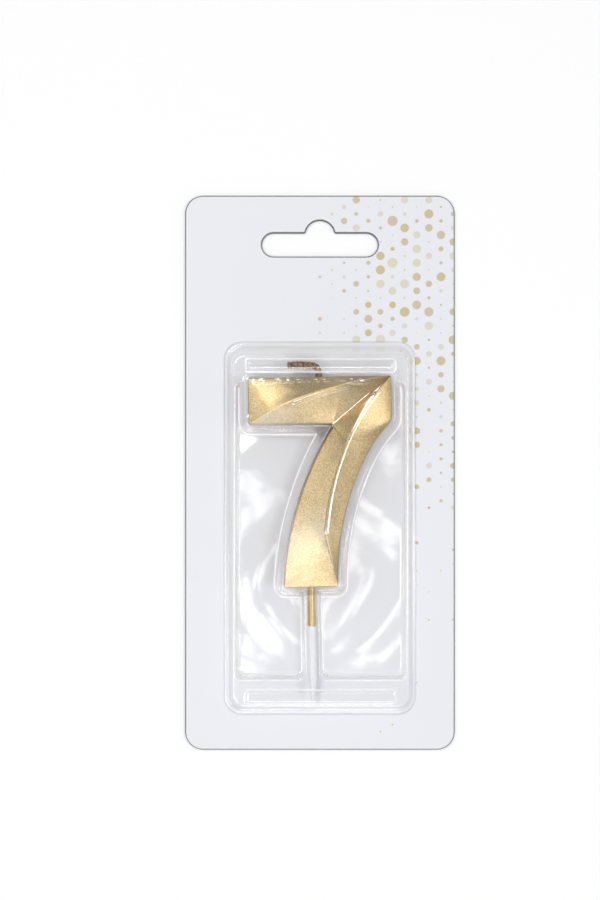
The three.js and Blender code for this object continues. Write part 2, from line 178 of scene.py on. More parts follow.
# %% The hanging slot
SLOT_WIDTH = 32
SLOT_HEIGHT = 6.4
SLOT_BELOW_TOP = 13.6
HUMP_RADIUS = 4
HUMP_RISE = 3.5
HUMP_FILLET = 0.6


def hanging_slot():
    """The slot's outline: two half circles, and a hump whose foot runs into the slot in a small
    fillet."""
    end = SLOT_HEIGHT / 2
    end_x = SLOT_WIDTH / 2 - end
    middle = front_high[1] - SLOT_BELOW_TOP
    hump_y = middle + end + HUMP_RISE - HUMP_RADIUS
    rise = middle + end + HUMP_FILLET - hump_y
    fillet_x = math.sqrt((HUMP_RADIUS + HUMP_FILLET) ** 2 - rise**2)
    lean = math.degrees(math.atan2(rise, fillet_x))
    fillet_y = hump_y + rise
    return np.concatenate([
        arc((end_x, middle), end, -90, 90),
        arc((fillet_x, fillet_y), HUMP_FILLET, -90, -180 + lean, 5),
        arc((0, hump_y), HUMP_RADIUS, lean, 180 - lean, 16)[1:-1],
        arc((-fillet_x, fillet_y), HUMP_FILLET, -lean, -90, 5),
        arc((-end_x, middle), end, 90, 270),
    ])


# %% A board from its outlines and the profile of its edge
DOME_LOW = np.array([-26.1, -66.4])
DOME_HIGH = np.array([26.1, 35.8])
DOME_CORNER = 4.6
WINDOW_GAP = 0.2
WINDOW_MIDDLE = (DOME_LOW + DOME_HIGH) / 2
WINDOW_HALF = (DOME_HIGH - DOME_LOW) / 2
WINDOW_RIM = 1
COATED_SLANT = 0.97


def moved_out(loop, distance):
    """A closed anticlockwise loop with every point moved out along the loop's normal."""
    tangent = np.roll(loop, -1, axis=0) - np.roll(loop, 1, axis=0)
    normal = np.column_stack([tangent[:, 1], -tangent[:, 0]])
    return loop + distance * normal / np.linalg.norm(normal, axis=1, keepdims=True)


def cap(loops, height):
    """The flat face between an outer loop and its holes, as (points, triangles)."""
    lines = [[Vector((x, y, 0)) for x, y in loop] for loop in loops]
    points = np.concatenate(loops)
    return np.column_stack([points, np.full(len(points), height)]), tessellate_polygon(lines)


def board(name, node, outer, holes, profile, body, materials):
    """Carries each loop along a profile of (distance in from the cut, height), and caps both ends. Faces
    whose normal's Z is below the coated slant get the cut's grey, which is partly painted shade, but for
    the window's rim."""
    sides = []
    for loop, inward in [(outer, -1)] + [(hole, 1) for hole in holes]:
        rings = [
            np.column_stack([moved_out(loop, inward * distance), np.full(len(loop), height)])
            for distance, height in profile
        ]
        sides.append((np.concatenate(rings), grid_faces(len(profile), len(loop), around=True)))
    ends = []
    for distance, height in (profile[0], profile[-1]):
        outlines = [moved_out(outer, -distance)] + [moved_out(hole, distance) for hole in holes]
        ends.append(cap(outlines, height))
    points, faces = joined(sides + ends)
    made = piece(name, points, faces, body, materials[0], weld=0.001)
    made.data.materials.append(materials[1])
    slant, middle = np.empty((2, len(made.data.polygons) * 3))
    made.data.polygons.foreach_get("normal", slant)
    made.data.polygons.foreach_get("center", middle)
    cut = np.abs(slant.reshape(-1, 3)[:, 2]) < COATED_SLANT
    from_middle = np.abs(middle.reshape(-1, 3)[:, :2] / MM - WINDOW_MIDDLE)
    at_window = (from_middle < WINDOW_HALF + WINDOW_RIM).all(axis=1)
    made.data.polygons.foreach_set("material_index", (cut & ~at_window).astype(int))
    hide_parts(node)


# %% [markdown]
# ### What the boards are made of
# White-lined board has a smooth clay coat with a soft sheen and a very fine tooth. The print is a
# halftone of pale gold dots on a triangular grid. Each dot sits in a cell of its own, so its size
# and ink come from a random number for that cell, and it fades with the distance from the corner.

# %% One set of dots
DOT_COLUMN = 3.34
DOT_PITCH = 3.86
DOT_SEED = (17.3, 5.9)
FADE_LEFT = (-11.0, 17.0)
FADE_DOWN = (-42.0, 40.0)
DENSITY_AT_FOOT = 0.12


def dot_layer(tree, place, offset):
    """One of the grid's two sets of cells: the distance to the cell's centre, that centre, and two
    random numbers for the cell."""
    cell = (2 * DOT_COLUMN, DOT_PITCH, 1)
    moved = add(tree, "VectorMath", {0: place, 1: offset}, operation="SUBTRACT")[0]
    shares = add(tree, "VectorMath", {0: moved, 1: cell}, operation="DIVIDE")[0]
    number = add(tree, "VectorMath", {0: shares}, operation="FLOOR")[0]
    middle = add(tree, "VectorMath", {0: number, 1: (0.5, 0.5, 0)}, operation="ADD")[0]
    centre = add(tree, "VectorMath", {0: middle, 1: cell, 2: offset}, operation="MULTIPLY_ADD")[0]
    flat_place = add(tree, "VectorMath", {0: place, 1: (1, 1, 0)}, operation="MULTIPLY")[0]
    flat_centre = add(tree, "VectorMath", {0: centre, 1: (1, 1, 0)}, operation="MULTIPLY")[0]
    away = add(tree, "VectorMath", {0: flat_place, 1: flat_centre}, operation="DISTANCE")["Value"]
    seed = (offset[0] + DOT_SEED[0], offset[1] + DOT_SEED[1], 0)
    seeded = add(tree, "VectorMath", {0: number, 1: seed}, operation="ADD")[0]
    chance = add(tree, "TexWhiteNoise", {"Vector": seeded}, noise_dimensions="2D")
    return away, centre, chance["Color"]


def dot_density(tree, centre):
    """1 over the card's upper right, falling to 0 towards the left and to an eighth at the foot."""
    axes = add(tree, "SeparateXYZ", {0: centre})
    across = {0: axes["X"], 1: FADE_LEFT[0], 2: FADE_LEFT[1], 3: 0.0, 4: 1.0}
    left = add(tree, "MapRange", across, interpolation_type="SMOOTHSTEP")[0]
    upward = {0: axes["Y"], 1: FADE_DOWN[0], 2: FADE_DOWN[1], 3: DENSITY_AT_FOOT, 4: 1.0}
    down = add(tree, "MapRange", upward)[0]
    return add(tree, "Math", {0: left, 1: down}, operation="MULTIPLY")[0]


# %% The coat and the print
DOT_LARGEST = 1.4
DOT_SMALLEST = 0.12
DOT_RIM = 0.04
MOST_LIKELY = 1.15
INK_COVER = 0.95
# The coat's tooth is finer than this, which is as coarse as the render needs to show it.
TOOTH = 0.455
BOARD_WHITE = "e9eaef"
INKS = {0.0: "c8be90", 0.38: "cdbea4", 0.66: "d9d6bf", 0.86: "dcd5cd"}


def coated_board(name, printed):
    """White clay-coated board, with the gold halftone where it is printed."""
    material, tree = new_material(name)
    place = place_mm(tree)
    colour = linear(BOARD_WHITE)
    if printed:
        for offset in ((0, 0, 0), (DOT_COLUMN, DOT_PITCH / 2, 0)):
            away, centre, numbers = dot_layer(tree, place, offset)
            density = dot_density(tree, centre)
            parts = add(tree, "SeparateColor", {0: numbers})
            likely = add(tree, "Math", {0: density, 1: MOST_LIKELY}, operation="MULTIPLY")[0]
            gate = add(tree, "Math", {0: parts[0], 1: likely}, operation="LESS_THAN")[0]
            size = add(tree, "Math", {0: parts[1], 1: density}, operation="MULTIPLY")[0]
            share = add(tree, "MapRange", {0: size, 1: 0.0, 2: 1.0, 3: DOT_SMALLEST, 4: DOT_LARGEST})[0]
            radius = add(tree, "Math", {0: share, 1: gate}, operation="MULTIPLY")[0]
            inside = add(tree, "Math", {0: radius, 1: away}, operation="SUBTRACT")[0]
            cover = add(tree, "MapRange", {0: inside, 1: -DOT_RIM, 2: DOT_RIM, 3: 0.0, 4: INK_COVER})[0]
            ink = add(tree, "ValToRGB", {0: parts[2]})[0]
            ramp = ink.node.color_ramp
            ramp.interpolation = "CONSTANT"
            ramp.elements.remove(ramp.elements[1])
            for position, code in INKS.items():
                element = ramp.elements[0] if position == 0 else ramp.elements.new(position)
                element.color = linear(code)
            colour = add(tree, "Mix", {"Factor": cover, 6: colour, 7: ink}, data_type="RGBA")[2]
    tooth = add(tree, "TexNoise", {"Vector": place, "Scale": 1 / TOOTH, "Detail": 3.0})[0]
    bump = add(tree, "Bump", {"Strength": 0.12, "Distance": 0.00002, "Height": tooth})[0]
    finish = {"Base Color": colour, "Roughness": 0.48, "IOR": 1.5, "Normal": bump}
    shader = add(tree, "BsdfPrincipled", finish)[0]
    add(tree, "OutputMaterial", {"Surface": shader})
    return material


# %% The cut edge
FIBRE = 0.2


def cut_edge_with_painted_shade():
    """Grey where the rule cut the board: partly the fibre's own colour, partly painted shade on the
    steep cut and its rounded rim.
    """
    material, tree = new_material("cut board fibre")
    pulp = add(tree, "TexNoise", {"Vector": place_mm(tree), "Scale": 1 / FIBRE, "Detail": 4.0})[0]
    # Painted shade in part: these greys for the steep cut and rounded rim also stand in for the shade on
    # that edge.
    fibre_and_shade_greys = {"Factor": pulp, 6: linear("6c6e73"), 7: linear("8a8c91")}
    colour = add(tree, "Mix", fibre_and_shade_greys, data_type="RGBA")[2]
    shader = add(tree, "BsdfPrincipled", {"Base Color": colour, "Roughness": 0.85, "IOR": 1.5})[0]
    add(tree, "OutputMaterial", {"Surface": shader})
    return material


white_coat = coated_board("white clay-coated board", printed=False)
printed_coat = coated_board("white clay-coated board with gold halftone", printed=True)
fibre = cut_edge_with_painted_shade()

# %% Both boards
CARD_CORNER = 5
CRUSH = 0.5
FLAT_RIM = 0.56
SEAM_RIM = 0.06
BACK_RIM = 0.12
seam, front_face = back_high[2], front_high[2]

card_outline = rounded_rectangle(front_low, front_high, CARD_CORNER)
window = rounded_rectangle(DOME_LOW - WINDOW_GAP, DOME_HIGH + WINDOW_GAP, DOME_CORNER + WINDOW_GAP)
rounding = arc((CRUSH, front_face - CRUSH), CRUSH, 180, 90, 5)
at_seam = [(0, seam + SEAM_RIM), (SEAM_RIM, seam), (FLAT_RIM, seam)]
front_profile = at_seam[::-1] + [*rounding, (FLAT_RIM, front_face)]
at_back = [(FLAT_RIM, 0), (BACK_RIM, 0), (BACK_RIM / 4, BACK_RIM / 3), (0, BACK_RIM)]
back_profile = at_back + [(0, seam - SEAM_RIM), (SEAM_RIM, seam), (FLAT_RIM, seam)]
slot = hanging_slot()
front_finish, back_finish = [printed_coat, fibre], [white_coat, fibre]
board("front_board", "front_card", card_outline, [slot, window], front_profile, "front", front_finish)
board("back_board", "back_card", card_outline, [slot], back_profile, "back", back_finish)

# %% [markdown]
# ## The wax figure
# The figure is a cast wax 7 with a faceted front under a metallic lacquer. Its outline is seven
# stretches, straight or cubic, between seven corners. Two ridges cross the front, and every stretch
# faces one of them, so one list of shares along each ridge gives the stations of every stretch.

# %% The figure's corners and its curves
HEIGHT = 57.4
LEFT, RIGHT = -16.3, 23.0
BAR_FOOT = HEIGHT - 13.1
NECK = (6.6, HEIGHT - 13.5)
SHOULDER = HEIGHT - 12.7
FOOT = 7.6


def face_place(across, up):
    """A place on the figure, as shares of its width from the left and of its height from the foot."""
    return LEFT + across * (RIGHT - LEFT), HEIGHT * up


def curve(share, *handles):
    """A Bezier curve's points at shares of its way: straight from two handles, cubic from four."""
    share = np.asarray(share)[..., None]
    degree = len(handles) - 1
    return sum(
        math.comb(degree, i) * share**i * (1 - share) ** (degree - i) * np.array(handle)
        for i, handle in enumerate(handles)
    )


def eased(start, end, steps):
    """Shares from start to end that crowd towards both, as half a turn seen from the side."""
    return start + (end - start) * (1 - np.cos(np.linspace(0, math.pi, steps + 1))) / 2


def chained(*runs):
    """Several runs of shares in one row, each join kept once."""
    return np.concatenate([runs[0]] + [run[1:] for run in runs[1:]])


# %% Seven stretches
BAR_SHARES = chained(eased(0, 1 / 6, 20), eased(1 / 6, 2 / 3, 44), eased(2 / 3, 1, 36))
STEM_SHARES = chained(eased(0, 1 / 3, 36), eased(1 / 3, 5 / 6, 54), eased(5 / 6, 1, 28))
# Each stretch: its handles anticlockwise, the ridge it faces, and that ridge's shares at its two ends.
STRETCHES = {
    "underside": ([(LEFT, BAR_FOOT), NECK], BAR_SHARES, 0, 2 / 3),
    "inner": (
        [NECK, face_place(0.382, 0.57), face_place(0.237, 0.256), (-FOOT, 0)],
        STEM_SHARES,
        1 / 3,
        5 / 6,
    ),
    "foot": ([(-FOOT, 0), (FOOT, 0)], STEM_SHARES, 5 / 6, 1),
    "outer": (
        [(FOOT, 0), face_place(0.6, 0.26), face_place(0.728, 0.601), (RIGHT, SHOULDER)],
        STEM_SHARES,
        1,
        1 / 3,
    ),
    "shoulder": ([(RIGHT, SHOULDER), (RIGHT, HEIGHT)], STEM_SHARES, 1 / 3, 0),
    "top": ([(RIGHT, HEIGHT), (LEFT, HEIGHT)], BAR_SHARES, 1, 1 / 6),
    "end": ([(LEFT, HEIGHT), (LEFT, BAR_FOOT)], BAR_SHARES, 1 / 6, 0),
}
# How far a corner's rounding reaches, at the start of each stretch.
CORNER_REACH = dict.fromkeys(STRETCHES, 0.9) | {"inner": 0.35, "shoulder": 1.6}
print(len(BAR_SHARES), "stations along the bar,", len(STEM_SHARES), "along the stem")


def stations(name):
    """How far along a stretch each of its stations lies, from the shares of the ridge that it faces."""
    _, shares, start, end = STRETCHES[name]
    low, high = min(start, end) - 1e-9, max(start, end) + 1e-9
    along = (shares[(shares > low) & (shares < high)] - start) / (end - start)
    return np.sort(np.clip(along, 0, 1))


# %% Round corners
def at_reach(handles, corner, reach):
    """The point of a curve at a distance from one of its ends."""
    fine = curve(np.linspace(0, 1, 401), *handles)
    away = np.linalg.norm(fine - corner, axis=1)
    order = np.argsort(away)
    return np.array([np.interp(reach, away[order], fine[order, axis]) for axis in (0, 1)])


def figure_outline():
    """Every stretch's stations. Near a corner the points follow a parabola between the two points that
    lie the corner's reach away from it, one on each side."""
    names = list(STRETCHES)
    lines = {name: curve(stations(name), *STRETCHES[name][0]) for name in names}
    for before, after in zip(names, names[1:] + names[:1]):
        reach, corner = CORNER_REACH[after], lines[after][0].copy()
        start = at_reach(STRETCHES[before][0], corner, reach)
        end = at_reach(STRETCHES[after][0], corner, reach)
        for line, turn in ((lines[before], -1), (lines[after], 1)):
            away = np.linalg.norm(line - corner, axis=1)
            near = away < reach
            line[near] = curve(0.5 + turn * away[near] / reach / 2, start, corner, end)
    return lines


figure_lines = figure_outline()
figure_loop = np.concatenate([line[:-1] for line in figure_lines.values()])
print("figure outline", len(figure_loop), "stations")

# %% The figure's place on the card
CANDLE_PLACE = np.array([-2.5, -31.1])
CANDLE_TURN = math.radians(1.1)
CANDLE_Z = 0.7


def on_card(points):
    """Turns and moves points from the figure's own frame to its place on the card."""
    points = np.asarray(points, float)
    cos, sin = math.cos(CANDLE_TURN), math.sin(CANDLE_TURN)
    moved = points.copy()
    moved[:, 0] = points[:, 0] * cos - points[:, 1] * sin + CANDLE_PLACE[0]
    moved[:, 1] = points[:, 0] * sin + points[:, 1] * cos + CANDLE_PLACE[1]
    if points.shape[1] == 3:
        moved[:, 2] += CANDLE_Z
    return moved


print("the figure's foot stands at", on_card([(0, 0)])[0], "mm")

# %% [markdown]
# ### Facets
# Four facets fall from the two ridges to the edge and to a valley between them. On the real one each
# facet is a smooth field without folds, as a soap film would hang between its borders, so the facets
# here are solved as such films. Wax has no sharp edge either: the edge is a small parabola, and the
# ridge is rounded like a hyperbola.

# %% Ridges, edge and valley
EDGE = 8.0
RIDGE_RISE = 3.2
DRAFT = 0.35
TURN_SHARE = 19 / 24
RISE_POWER = 4
BAR_RISE_POWER = 2.8

front_loop = moved_out(figure_loop, -DRAFT)
counts = np.cumsum([0] + [len(line) - 1 for line in figure_lines.values()])
starts = dict(zip(figure_lines, counts))
front_lines = {
    name: front_loop[(starts[name] + np.arange(len(line))) % len(front_loop)]
    for name, line in figure_lines.items()
}
neck, foot_right, top_right = (front_lines[name][0] for name in ("inner", "outer", "top"))
bar_start = front_lines["underside"][0]


def with_height(flat, share, start_power=RISE_POWER):
    """Adds the height of a ridge. It rises from the edge at both ends and runs level between them, as 1
    less a power of the distance from its middle, and a lower power makes it rise more slowly."""
    power = np.where(share < 0.5, start_power, RISE_POWER)
    return np.column_stack([flat, EDGE + RIDGE_RISE * (1 - np.abs(2 * share - 1) ** power)])


bar_handles = [bar_start, face_place(0.316, 0.908), face_place(0.649, 0.97), top_right]
bar_ridge = with_height(curve(BAR_SHARES, *bar_handles), BAR_SHARES, BAR_RISE_POWER)
turn_point = face_place(0.517, 0.272)
bent_handles = [top_right, face_place(0.654, 0.77), face_place(0.545, 0.479), turn_point]
bent = curve(np.minimum(STEM_SHARES / TURN_SHARE, 1), *bent_handles)
straight = curve(np.clip((STEM_SHARES - TURN_SHARE) / (1 - TURN_SHARE), 0, 1), turn_point, foot_right)
stem_ridge = with_height(np.where(STEM_SHARES[:, None] < TURN_SHARE, bent, straight), STEM_SHARES)
valley_down = curve(STEM_SHARES[STEM_SHARES < 1 / 3 + 1e-9] * 3, top_right, neck)

# Each facet: the ridge above it, and its lower border in the order of that ridge's shares.
FACETS = {
    "bar, upper": (bar_ridge, chained(front_lines["end"][::-1], front_lines["top"][::-1])),
    "bar, lower": (bar_ridge, chained(front_lines["underside"], valley_down[::-1])),
    "stem, left": (stem_ridge, chained(valley_down, front_lines["inner"], front_lines["foot"])),
    "stem, right": (stem_ridge, chained(front_lines["shoulder"][::-1], front_lines["outer"][::-1])),
}


# %% A soap film between an edge and a ridge
EDGE_RADIUS = 0.4
LEAST_REACH = 0.02
ROWS = eased(0, 1, 24)


def cotangent_weights(flat, triangles):
    """For each side of each triangle, half the cotangent of the angle that faces it."""
    pairs, weights = [], []
    for k in range(3):
        a, b, c = triangles[:, k], triangles[:, (k + 1) % 3], triangles[:, (k + 2) % 3]
        to_b, to_c = flat[b] - flat[a], flat[c] - flat[a]
        area = np.abs(to_b[:, 0] * to_c[:, 1] - to_b[:, 1] * to_c[:, 0])
        pairs.append(np.column_stack([b, c]))
        weights.append(np.clip((to_b * to_c).sum(axis=1) / np.maximum(area, 1e-9), 0.02, 50) / 2)
    return np.concatenate(pairs), np.concatenate(weights)


def soap_film(points):
    """Solves the heights between the first and the last row of a grid, so that each point is the mean
    of its neighbours by their cotangent weights. That is Laplace's equation for a film."""
    rows, columns = points.shape[:2]
    quads = grid_faces(rows, columns)
    triangles = np.concatenate([quads[:, :3], quads[:, [0, 2, 3]]])
    pairs, weights = cotangent_weights(points.reshape(-1, 3)[:, :2], triangles)
    total = rows * columns
    matrix = np.zeros((total, total))
    for i, j in ((0, 1), (1, 0)):
        np.add.at(matrix, (pairs[:, i], pairs[:, j]), -weights)
        np.add.at(matrix, (pairs[:, i], pairs[:, i]), weights)
    inner = slice(columns, total - columns)
    rim = np.r_[0:columns, total - columns : total]
    heights = points[:, :, 2].ravel().copy()
    heights[inner] = np.linalg.solve(matrix[inner, inner], -matrix[inner][:, rim] @ heights[rim])
    return heights.reshape(rows, columns)


def facet(ridge, border):
    """A facet's grid from its border, row 0, to its ridge, and how far its edge's rounding reaches."""
    edge = np.column_stack([border, np.full(len(border), EDGE)])
    length = np.linalg.norm(ridge[:, :2] - border, axis=1)
    on_valley = np.abs(np.cross(top_right - neck, border - neck)) < 1e-6
    to_neck = np.where(on_valley, 0, np.linalg.norm(border - neck, axis=1))
    reach = np.maximum(np.minimum(np.minimum(EDGE_RADIUS, 0.25 * length), 0.5 * to_neck), LEAST_REACH)
    first = np.clip(reach / np.maximum(length, 1e-6), 0, 0.5)
    rows = np.concatenate([np.zeros((1, len(border))), first + (1 - first) * ROWS[:, None]])
    points = edge + rows[:, :, None] * (ridge - edge)
    points[:, :, 2] = soap_film(points)
    return points, reach


# %% Facets with rounded crests
RIDGE_RADIUS = 0.22
STEEPEST = 1.2
facets = {name: facet(*parts) for name, parts in FACETS.items()}


def steepness(points):
    """How steeply a facet meets its ridge: the rise over the run of its last rows."""
    run = np.linalg.norm(points[-1, :, :2] - points[-5, :, :2], axis=1)
    return (points[-1, :, 2] - points[-5, :, 2]) / np.maximum(run, 0.05)


for ridge in (bar_ridge, stem_ridge):
    sides = [facets[name][0] for name, parts in FACETS.items() if parts[0] is ridge]
    mean = sum(np.clip(steepness(points), 0, STEEPEST) for points in sides) / 2
    lengths = [np.linalg.norm(points[-1, :, :2] - points[0, :, :2], axis=1) for points in sides]
    radius = np.minimum(RIDGE_RADIUS, 0.2 * np.minimum(*lengths)) + 1e-6
    for points in sides:
        away = np.linalg.norm(points[:, :, :2] - ridge[None, :, :2], axis=2) / radius
        points[:, :, 2] -= radius * mean * (np.sqrt(away**2 + 1) - away)


# %% Walls and edges
RIM_HEIGHT = 0.25
BACK_STEP = 0.1


def wall_strip(back, front, top, reach):
    """From the back face up the drafted wall, then round the edge on a parabola to the facet."""
    edge = np.column_stack([front, np.full(len(front), EDGE)])
    foot = np.column_stack([back, np.zeros(len(back))])
    up = (edge - foot) / np.linalg.norm(edge - foot, axis=1)[:, None]
    below = edge - reach[:, None] * up
    bend = [(1 - t) ** 2 * below + 2 * t * (1 - t) * edge + t**2 * top for t in np.linspace(0, 1, 6)]
    rim = foot + RIM_HEIGHT * up
    inward = np.column_stack([moved_in(back, BACK_STEP), np.zeros(len(back))])
    return np.stack([inward, rim] + bend)


def moved_in(line, distance):
    """Moves an open line of an anticlockwise outline inwards by a distance."""
    tangent = np.gradient(line, axis=0)
    inward = np.column_stack([-tangent[:, 1], tangent[:, 0]])
    return line + distance * inward / np.linalg.norm(inward, axis=1, keepdims=True)


def figure_parts():
    """The four facets, the valley's two strips, the walls and the back, as (points, faces)."""
    parts = []
    for points, _ in facets.values():
        parts.append((points[1:].reshape(-1, 3), grid_faces(len(points) - 1, points.shape[1])))
    valley = len(valley_down)
    for name, columns in (("bar, lower", np.arange(-valley, 0)), ("stem, left", np.arange(valley))):
        points = facets[name][0][:2, columns]
        parts.append((points.reshape(-1, 3), grid_faces(2, valley)))
    for name, line in figure_lines.items():
        _, _, start, end = STRETCHES[name]
        side = next(side for side, (_, border) in FACETS.items() if contains(border, front_lines[name]))
        points, reach = facets[side]
        first = np.argmin(np.linalg.norm(FACETS[side][1] - front_lines[name][0], axis=1))
        columns = first + np.arange(len(line)) * (1 if end > start else -1)
        strip = wall_strip(line, front_lines[name], points[1, columns], reach[columns])
        parts.append((strip.reshape(-1, 3), grid_faces(len(strip), len(line))))
    parts.append(cap([figure_loop], 0))
    return parts


def contains(border, line):
    """Whether a stretch's middle is one of a border's points."""
    return np.min(np.linalg.norm(border - line[len(line) // 2], axis=1)) < 1e-9


# %% [markdown]
# ### The lacquer
# The gold is sprayed on as fine metal flakes in a clear varnish. The flakes lie at all angles, so they
# widen the highlight, and the varnish mirrors softly on top of them. A fine noise between two golds
# gives the flakes, and a coat on the same metal gives the varnish.

# %% Gold lacquer
# Real flakes are ten times finer than this, which is as coarse as the render needs to show them.
FLAKE = 0.278
SWELL = 6.25


def gold_lacquer():
    """Metallic lacquer on wax. The wax beneath is never quite flat, so the highlight wanders. Faces that
    turn to the side are mixed over to brown by their direction: painted shade for the dark that the
    steep walls show."""
    material, tree = new_material("gold lacquer on wax")
    place = place_mm(tree)
    grain = add(tree, "TexNoise", {"Vector": place, "Scale": 1 / FLAKE, "Detail": 2.0})[0]
    flake = add(tree, "MapRange", {0: grain, 1: 0.32, 2: 0.68, 3: 0.0, 4: 1.0})[0]
    wide = {"Vector": place, "Scale": 1 / SWELL, "Detail": 2.0, "Roughness": 0.5}
    swell = add(tree, "TexNoise", wide)[0]
    swells = add(tree, "Bump", {"Strength": 0.3, "Distance": 0.0008, "Height": swell})[0]
    on_swells = {"Strength": 0.22, "Distance": 0.00006, "Height": flake, "Normal": swells}
    bump = add(tree, "Bump", on_swells)[0]
    golds = {"Factor": flake, 6: linear("b6975e"), 7: linear("f4deaa")}
    bright = add(tree, "Mix", golds, data_type="RGBA")[2]
    # Painted shade: by the Z of its normal, a face that turns to the side goes over to the dark brown
    # 8f7344, standing in for the dark that the steep walls show.
    upward = add(tree, "SeparateXYZ", {0: add(tree, "TexCoord")["Normal"]})["Z"]
    flat = add(tree, "MapRange", {0: upward, 1: 0.35, 2: 0.8, 3: 0.0, 4: 1.0})[0]
    colour = add(tree, "Mix", {"Factor": flat, 6: linear("8f7344"), 7: bright}, data_type="RGBA")[2]
    shader = add(tree, "BsdfPrincipled", {
        "Base Color": colour,
        "Metallic": 1.0,
        "Roughness": 0.4,
        "Coat Weight": 0.5,
        "Coat Roughness": 0.3,
        "Normal": bump,
    })[0]
    add(tree, "OutputMaterial", {"Surface": shader})
    return material


# %% The figure
figure_points, figure_faces = joined(figure_parts())
figure = piece("figure", on_card(figure_points), figure_faces, "candle", gold_lacquer(), weld=0.002)
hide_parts("numeral")

# %% [markdown]
# ## The clear film
# A blister is one sheet of PET film, heated and drawn over a mould, so every wall leans and every
# corner is round. Seen along the pull it never folds under itself, which makes it a height over a flat
# grid: each wall's height is a profile of the distance to its foot, and the lowest wall wins. The
# film's sharpest folds are painted white as a painted highlight, so its mesh also carries a number
# that is 1 there.


# %% Profiles with fillets
def filleted(corners, radii, steps=6):
    """A polyline whose inner corners are rounded: each is a parabola between its two tangents."""
    corners = np.asarray(corners, float)
    points = [corners[0]]
    for before, corner, after, radius in zip(corners, corners[1:], corners[2:], radii):
        to_before = (before - corner) / np.linalg.norm(before - corner)
        to_after = (after - corner) / np.linalg.norm(after - corner)
        half = math.acos(np.clip(to_before @ to_after, -1, 1)) / 2
        reach = radius / math.tan(half)
        share = np.linspace(0, 1, steps + 1)[:, None]
        start, end = corner + to_before * reach, corner + to_after * reach
        points.extend((1 - share) ** 2 * start + 2 * share * (1 - share) * corner + share**2 * end)
    points.append(corners[-1])
    return np.array(points)


FAR = 60
SKIRT_RADIUS = 0.3


def wall(distance, lean, height, foot_radius, brow_radius, start=0.0, skirt=0.0):
    """Height over the distance in from a wall's foot: a ramp from its start to the lean, with both ends
    rounded. A skirt is the width of a gentle slope of 1 in 4 that ends the ramp."""
    corners = [(-FAR, 0), (start, 0), (lean, height - skirt / 4), (lean + skirt, height), (FAR, height)]
    radii = [foot_radius, brow_radius, SKIRT_RADIUS]
    if skirt == 0:
        del corners[3], radii[2]
    line = filleted(corners, radii)
    return np.interp(distance, line[:, 0], line[:, 1])


def soft_least(values, softness):
    """The least of several heights, blended where two are nearly equal: the smooth minimum by
    exponents."""
    values = np.stack(values)
    least = values.min(axis=0)
    return least - softness * np.log(np.exp((least - values) / softness).sum(axis=0))


def rounded_least(a, b, radius):
    """The least of two distances to borders, with the corner where the borders meet rounded."""
    to_arc = np.hypot(np.maximum(radius - a, 0), np.maximum(radius - b, 0))
    return np.maximum(np.minimum(a, b), radius) - to_arc


# %% Distances to outlines
TINY = 1e-12


def box_distance(x, y, low, high, radius):
    """Signed distance to a rectangle with round corners, positive inside it. The corners of the
    rectangle may be arrays, with x first and y second."""
    over_x, over_y = (
        np.abs(place - (low[axis] + high[axis]) / 2) - (high[axis] - low[axis]) / 2 + radius
        for axis, place in enumerate((x, y))
    )
    outside = np.hypot(np.maximum(over_x, 0), np.maximum(over_y, 0))
    return radius - outside - np.minimum(np.maximum(over_x, over_y), 0)


def line_distance(x, y, line, heights=None):
    """Distance to the nearest side of a line of points, and the line's height at that nearest place."""
    best, height = np.full(x.shape, np.inf), np.zeros(x.shape)
    heights = np.zeros(len(line)) if heights is None else heights
    for (ax, ay), (bx, by), az, bz in zip(line, line[1:], heights, heights[1:]):
        dx, dy = bx - ax, by - ay
        share = np.clip(((x - ax) * dx + (y - ay) * dy) / (dx * dx + dy * dy + TINY), 0, 1)
        away = np.hypot(x - ax - share * dx, y - ay - share * dy)
        nearer = away < best
        best = np.where(nearer, away, best)
        height = np.where(nearer, az + share * (bz - az), height)
    return best, height


def inside_loop(x, y, loop):
    """Whether each point lies inside a closed loop: a ray to its right crosses the loop an odd number
    of times."""
    inside = np.zeros(x.shape, bool)
    for (ax, ay), (bx, by) in zip(loop, np.roll(loop, -1, axis=0)):
        crossing_x = ax + (y - ay) * (bx - ax) / (by - ay if by != ay else TINY)
        inside ^= ((ay > y) != (by > y)) & (x < crossing_x)
    return inside


# %% The dome's leaning wall
SIDE_LEAN = 2.7
END_LEAN = 4.2
HALVINGS = 20


def wall_share(x, y):
    """How far up the dome's leaning wall a point lies, 0 at its foot and 1 at its top edge. The outline
    shrinks evenly with the height, so the share is found by halving its range over and over."""
    low, high = np.full(x.shape, -2.5), np.full(x.shape, 2.5)
    dome_low, dome_high, lean = (
        np.reshape(pair, (2, 1, 1)) for pair in (DOME_LOW, DOME_HIGH, (SIDE_LEAN, END_LEAN))
    )
    for _ in range(HALVINGS):
        middle = (low + high) / 2
        radius = DOME_CORNER - SIDE_LEAN / 2 * np.clip(middle, -1, 1.2)
        inside = box_distance(x, y, dome_low + lean * middle, dome_high - lean * middle, radius) > 0
        low, high = np.where(inside, middle, low), np.where(inside, high, middle)
    return (low + high) / 2


# %% The relief over the figure
RELIEF = 0.12
RELIEF_RIM = 0.15
RELIEF_CLIMB = 0.8
RELAX_ROUNDS = 300


def relaxed(values, freedom, rounds):
    """Moves each value towards the mean of its four neighbours, by its own freedom, some rounds over."""
    for _ in range(rounds):
        padded = np.pad(values, 1, mode="edge")
        mean = (padded[:-2, 1:-1] + padded[2:, 1:-1] + padded[1:-1, :-2] + padded[1:-1, 2:]) / 4
        values = values + freedom * (mean - values)
    return values


